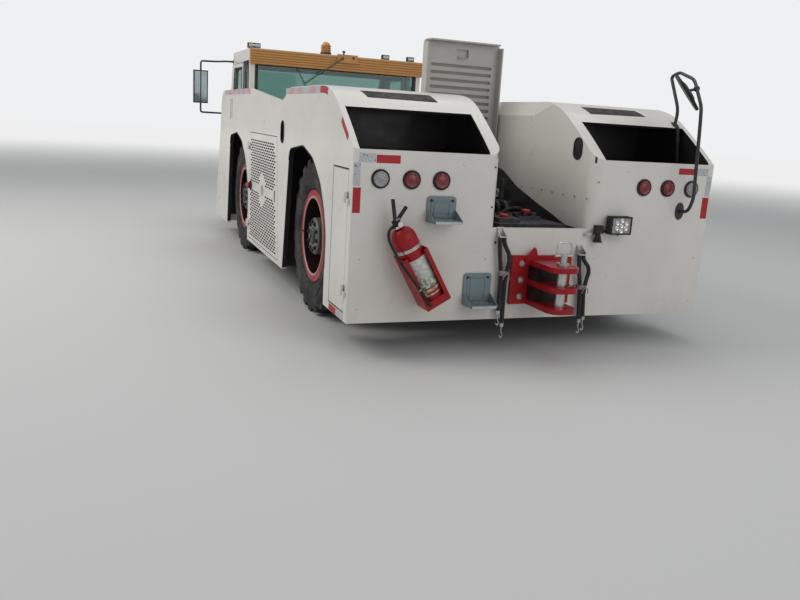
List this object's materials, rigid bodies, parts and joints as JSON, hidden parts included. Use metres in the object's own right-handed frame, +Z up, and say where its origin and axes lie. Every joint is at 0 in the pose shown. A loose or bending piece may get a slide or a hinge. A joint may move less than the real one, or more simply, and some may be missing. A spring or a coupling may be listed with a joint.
{
  "type": "aircraft pushback tractor",
  "caption": "Low towbar tractor for pushing aircraft back, with two rear pods round an open engine bay, a cab ahead of the front axle, four steered wheels and a tow hitch at each end.",
  "frame": {"origin": "on the ground, in the middle of the machine's length and width", "axes": "+X to the machine's right, +Y forward to the cab, +Z up"},
  "size_m": [3.2, 7.56, 2.425],
  "materials": {
    "white_paint": "gloss",
    "black_steel": "satin",
    "ochre_paint": "gloss",
    "red_paint": "gloss",
    "hood_grey": "satin",
    "step_grey": "satin",
    "tyre": "matte",
    "steel": "satin",
    "glass": "clear",
    "red_lens": "gloss",
    "clear_lens": "gloss",
    "amber_lens": "gloss",
    "rubber": "matte",
    "cab_trim": "matte",
    "dark_metal": "satin"
  },
  "bodies": {
    "chassis": {"frame": "black_steel", "axles": "dark_metal", "side_plates": "white_paint", "rear_body": "white_paint", "wheel_wells": "black_steel", "pod_bins": "black_steel", "bay_lining": "black_steel", "deck": "white_paint", "cab_shell": "white_paint", "cab_visor": "ochre_paint", "cab_glass": "glass", "cab_interior": "cab_trim", "engine": "dark_metal", "engine_parts": "steel", "hitches": "red_paint", "step_brackets": "step_grey", "tail_lamps": "red_lens", "white_lamps": "clear_lens", "fittings": "rubber", "beacon": "amber_lens", "extinguisher": "red_paint", "cradle": "red_paint", "mirrors": "cab_trim", "strap_left": "rubber", "strap_right": "rubber", "strap_hooks": "steel", "rear_brackets": "steel"},
    "hood": {"hood": "hood_grey"},
    "cab_door_left": {"cab_door_left": "white_paint", "door_glass_left": "glass"},
    "cab_door_right": {"cab_door_right": "white_paint", "door_glass_right": "glass"},
    "side_door_left": {"side_door_left": "white_paint"},
    "side_door_right": {"side_door_right": "white_paint"},
    "hatch_left": {"hatch_left": "white_paint"},
    "hatch_right": {"hatch_right": "white_paint"},
    "tow_pin_rear": {"tow_pin_rear": "steel"},
    "tow_pin_front": {"tow_pin_front": "steel"},
    "step_upper": {"step_upper": "step_grey"},
    "step_lower": {"step_lower": "step_grey"},
    "knuckle_front_left": {"knuckle_front_left": "dark_metal"},
    "wheel_front_left": {"rim_front_left": "red_paint", "tyre_front_left": "tyre"},
    "knuckle_front_right": {"knuckle_front_right": "dark_metal"},
    "wheel_front_right": {"rim_front_right": "red_paint", "tyre_front_right": "tyre"},
    "knuckle_rear_left": {"knuckle_rear_left": "dark_metal"},
    "wheel_rear_left": {"rim_rear_left": "red_paint", "tyre_rear_left": "tyre"},
    "knuckle_rear_right": {"knuckle_rear_right": "dark_metal"},
    "wheel_rear_right": {"rim_rear_right": "red_paint", "tyre_rear_right": "tyre"}
  },
  "joints": [
    {"name": "steer_front_left", "type": "hinge", "parent": "chassis", "child": "knuckle_front_left", "pos_m": [-0.93, 0.85, 0.6], "axis": [0, 0, 1], "range_deg": [-25, 25]},
    {"name": "spin_front_left", "type": "hinge", "parent": "knuckle_front_left", "child": "wheel_front_left", "pos_m": [-1.15, 0.85, 0.6], "axis": [1, 0, 0], "continuous": true},
    {"name": "steer_front_right", "type": "hinge", "parent": "chassis", "child": "knuckle_front_right", "pos_m": [0.93, 0.85, 0.6], "axis": [0, 0, 1], "range_deg": [-25, 25]},
    {"name": "spin_front_right", "type": "hinge", "parent": "knuckle_front_right", "child": "wheel_front_right", "pos_m": [1.15, 0.85, 0.6], "axis": [1, 0, 0], "continuous": true},
    {"name": "steer_rear_left", "type": "hinge", "parent": "chassis", "child": "knuckle_rear_left", "pos_m": [-0.93, -2.15, 0.6], "axis": [0, 0, 1], "range_deg": [-25, 25]},
    {"name": "spin_rear_left", "type": "hinge", "parent": "knuckle_rear_left", "child": "wheel_rear_left", "pos_m": [-1.15, -2.15, 0.6], "axis": [1, 0, 0], "continuous": true},
    {"name": "steer_rear_right", "type": "hinge", "parent": "chassis", "child": "knuckle_rear_right", "pos_m": [0.93, -2.15, 0.6], "axis": [0, 0, 1], "range_deg": [-25, 25]},
    {"name": "spin_rear_right", "type": "hinge", "parent": "knuckle_rear_right", "child": "wheel_rear_right", "pos_m": [1.15, -2.15, 0.6], "axis": [1, 0, 0], "continuous": true},
    {"name": "hood_lid", "type": "hinge", "parent": "chassis", "child": "hood", "pos_m": [0, -2.102, 0.978], "axis": [1, 0, 0], "range_deg": [0, 105]},
    {"name": "cab_door_left_hinge", "type": "hinge", "parent": "chassis", "child": "cab_door_left", "pos_m": [-1.116, 3.183, 1], "axis": [0, 0, -1], "range_deg": [0, 70]},
    {"name": "side_door_left_hinge", "type": "hinge", "parent": "chassis", "child": "side_door_left", "pos_m": [-1.416, 0.083, 0.8], "axis": [0, 0, -1], "range_deg": [0, 95]},
    {"name": "hatch_left_hinge", "type": "hinge", "parent": "chassis", "child": "hatch_left", "pos_m": [-1.416, -3.323, 0.7], "axis": [0, 0, 1], "range_deg": [0, 95]},
    {"name": "cab_door_right_hinge", "type": "hinge", "parent": "chassis", "child": "cab_door_right", "pos_m": [1.116, 3.183, 1], "axis": [0, 0, 1], "range_deg": [0, 70]},
    {"name": "side_door_right_hinge", "type": "hinge", "parent": "chassis", "child": "side_door_right", "pos_m": [1.416, 0.083, 0.8], "axis": [0, 0, 1], "range_deg": [0, 95]},
    {"name": "hatch_right_hinge", "type": "hinge", "parent": "chassis", "child": "hatch_right", "pos_m": [1.416, -3.323, 0.7], "axis": [0, 0, -1], "range_deg": [0, 95]},
    {"name": "pin_rear_lift", "type": "slide", "parent": "chassis", "child": "tow_pin_rear", "axis": [0, 0, 1], "range_m": [0, 0.38]},
    {"name": "pin_front_lift", "type": "slide", "parent": "chassis", "child": "tow_pin_front", "axis": [0, 0, 1], "range_m": [0, 0.38]},
    {"name": "step_upper_fold", "type": "hinge", "parent": "chassis", "child": "step_upper", "pos_m": [0, -3.428, 0.896], "axis": [-1, 0, 0], "range_deg": [0, 85]},
    {"name": "step_lower_fold", "type": "hinge", "parent": "chassis", "child": "step_lower", "pos_m": [0, -3.428, 0.334], "axis": [-1, 0, 0], "range_deg": [0, 85]}
  ],
  "couplings": [
    {"joint": "steer_front_right", "follows": "steer_front_left", "ratio": 1},
    {"joint": "steer_rear_right", "follows": "steer_rear_left", "ratio": 1}
  ]
}
